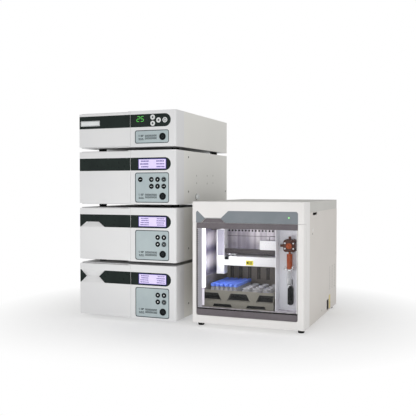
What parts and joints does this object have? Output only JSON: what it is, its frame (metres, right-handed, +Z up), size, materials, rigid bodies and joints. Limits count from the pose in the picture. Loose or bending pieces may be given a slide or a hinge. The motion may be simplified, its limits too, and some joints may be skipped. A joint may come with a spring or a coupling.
{
  "type": "hplc system",
  "caption": "Stack of liquid chromatography modules with pumps, detector and column oven, beside an autosampler with a clear hinged door, needle gantry and syringe.",
  "frame": {"origin": "middle of the footprint, on the bench", "axes": "+Z up, +X to the right as seen from the front, the doors face -Y"},
  "size_m": [0.649, 0.435, 0.578],
  "materials": {
    "cover_paint": "fine satin",
    "sheet_steel": "satin",
    "bezel_plastic": "satin",
    "stripe_film": "gloss",
    "display_film": "gloss",
    "keypad_film": "fine satin",
    "button": "satin",
    "pin_steel": "polished",
    "foot_rubber": "matt",
    "fluid_steel": "satin",
    "knob_plastic": "matt",
    "heater_aluminium": "satin",
    "case_paint": "fine satin",
    "front_plastic": "satin",
    "fascia_plastic": "satin",
    "lamp_lens": "gloss",
    "pane": "polished",
    "liner_steel": "satin",
    "well_paint": "matt",
    "lamp_diffuser": "matt",
    "panel_paint": "satin",
    "valve_plastic": "satin",
    "amber_plastic": "gloss",
    "barrel_glass": "polished",
    "drive_black": "satin",
    "gantry_dark": "satin",
    "gantry_white": "satin",
    "guide_steel": "satin",
    "head_plastic": "satin",
    "needle_steel": "polished",
    "tray_plastic": "satin",
    "vial_glass": "polished",
    "cap_plastic": "satin"
  },
  "bodies": {
    "frame": {"oven_cover": "cover_paint", "detector_cover": "cover_paint", "pump_a_cover": "cover_paint", "pump_b_cover": "cover_paint", "oven_chassis": "sheet_steel", "detector_chassis": "sheet_steel", "pump_a_chassis": "sheet_steel", "pump_b_chassis": "sheet_steel", "oven_bezel": "bezel_plastic", "detector_bezel": "bezel_plastic", "pump_a_bezel": "bezel_plastic", "pump_b_bezel": "bezel_plastic", "display_windows": "display_film", "keypads": "keypad_film", "hinge_pins": "pin_steel", "rubber_feet": "foot_rubber", "pump_heads": "fluid_steel", "check_valves": "fluid_steel", "column": "fluid_steel", "column_heater": "heater_aluminium", "flow_cell": "fluid_steel", "sampler_case": "case_paint", "sampler_top_cover": "case_paint", "sampler_front": "front_plastic", "fascia_band": "fascia_plastic", "status_lamp": "lamp_lens", "chamber_liner": "liner_steel", "cooler_well": "well_paint", "light_strip": "lamp_diffuser", "service_panel": "panel_paint", "valve_body": "valve_plastic", "syringe_adapter": "amber_plastic", "syringe_barrel": "barrel_glass", "gantry_rails": "gantry_dark", "tray_base": "tray_plastic", "sample_tray": "tray_plastic", "vials": "vial_glass", "vial_caps": "cap_plastic"},
    "pump_b_door_leaf": {"pump_b_door": "bezel_plastic", "pump_b_door_stripe": "stripe_film"},
    "pump_b_button": {"pump_b_power_button": "button"},
    "pump_a_door_leaf": {"pump_a_door": "bezel_plastic", "pump_a_door_stripe": "stripe_film"},
    "pump_a_button": {"pump_a_power_button": "button"},
    "detector_door_leaf": {"detector_door": "bezel_plastic", "detector_door_stripe": "stripe_film"},
    "detector_button": {"detector_power_button": "button"},
    "oven_door_leaf": {"oven_door": "bezel_plastic", "oven_door_stripe": "stripe_film"},
    "oven_button": {"oven_power_button": "button"},
    "purge_a": {"pump_a_purge_knob": "knob_plastic"},
    "purge_b": {"pump_b_purge_knob": "knob_plastic"},
    "clear_door": {"sampler_door": "front_plastic", "sampler_pane": "pane"},
    "bridge": {"bridge_beam": "gantry_white", "bridge_guide": "guide_steel"},
    "head": {"needle_head": "head_plastic"},
    "needle_slide": {"needle": "needle_steel"},
    "valve_rotor": {"valve_hub": "amber_plastic"},
    "plunger": {"syringe_plunger": "drive_black"}
  },
  "joints": [
    {"name": "pump_b_door_hinge", "type": "hinge", "parent": "frame", "child": "pump_b_door_leaf", "pos_m": [-0.1637, -0.2153, 0.019], "axis": [0, 0, 1], "range_deg": [0, 95]},
    {"name": "pump_b_button_push", "type": "slide", "parent": "frame", "child": "pump_b_button", "axis": [0, 1, 0], "range_m": [0, 0.0025], "stiffness_N_per_m": 400, "springref_m": -0.0008},
    {"name": "pump_a_door_hinge", "type": "hinge", "parent": "frame", "child": "pump_a_door_leaf", "pos_m": [-0.1637, -0.2153, 0.176], "axis": [0, 0, 1], "range_deg": [0, 95]},
    {"name": "pump_a_button_push", "type": "slide", "parent": "frame", "child": "pump_a_button", "axis": [0, 1, 0], "range_m": [0, 0.0025], "stiffness_N_per_m": 400, "springref_m": -0.0008},
    {"name": "detector_door_hinge", "type": "hinge", "parent": "frame", "child": "detector_door_leaf", "pos_m": [-0.1637, -0.2153, 0.333], "axis": [0, 0, 1], "range_deg": [0, 95]},
    {"name": "detector_button_push", "type": "slide", "parent": "frame", "child": "detector_button", "axis": [0, 1, 0], "range_m": [0, 0.0025], "stiffness_N_per_m": 400, "springref_m": -0.0008},
    {"name": "oven_door_hinge", "type": "hinge", "parent": "frame", "child": "oven_door_leaf", "pos_m": [-0.1637, -0.2153, 0.49], "axis": [0, 0, 1], "range_deg": [0, 95]},
    {"name": "oven_button_push", "type": "slide", "parent": "frame", "child": "oven_button", "axis": [0, 1, 0], "range_m": [0, 0.0025], "stiffness_N_per_m": 400, "springref_m": -0.0008},
    {"name": "purge_a_turn", "type": "hinge", "parent": "frame", "child": "purge_a", "pos_m": [-0.19425, -0.19, 0.268], "axis": [0, -1, 0], "range_deg": [0, 180]},
    {"name": "purge_b_turn", "type": "hinge", "parent": "frame", "child": "purge_b", "pos_m": [-0.19425, -0.19, 0.111], "axis": [0, -1, 0], "range_deg": [0, 180]},
    {"name": "clear_door_hinge", "type": "hinge", "parent": "frame", "child": "clear_door", "pos_m": [0.3185, -0.2035, 0.02], "axis": [0, 0, 1], "range_deg": [0, 110]},
    {"name": "bridge_travel", "type": "slide", "parent": "frame", "child": "bridge", "axis": [0, 1, 0], "range_m": [-0.045, 0.07]},
    {"name": "head_travel", "type": "slide", "parent": "bridge", "child": "head", "axis": [1, 0, 0], "range_m": [-0.1, 0.02]},
    {"name": "needle_stroke", "type": "slide", "parent": "head", "child": "needle_slide", "axis": [0, 0, -1], "range_m": [0, 0.043]},
    {"name": "valve_turn", "type": "hinge", "parent": "frame", "child": "valve_rotor", "pos_m": [0.276, -0.18, 0.219], "axis": [0, -1, 0], "range_deg": [-90, 90]},
    {"name": "plunger_stroke", "type": "slide", "parent": "frame", "child": "plunger", "axis": [0, 0, 1], "range_m": [0, 0.032]}
  ]
}
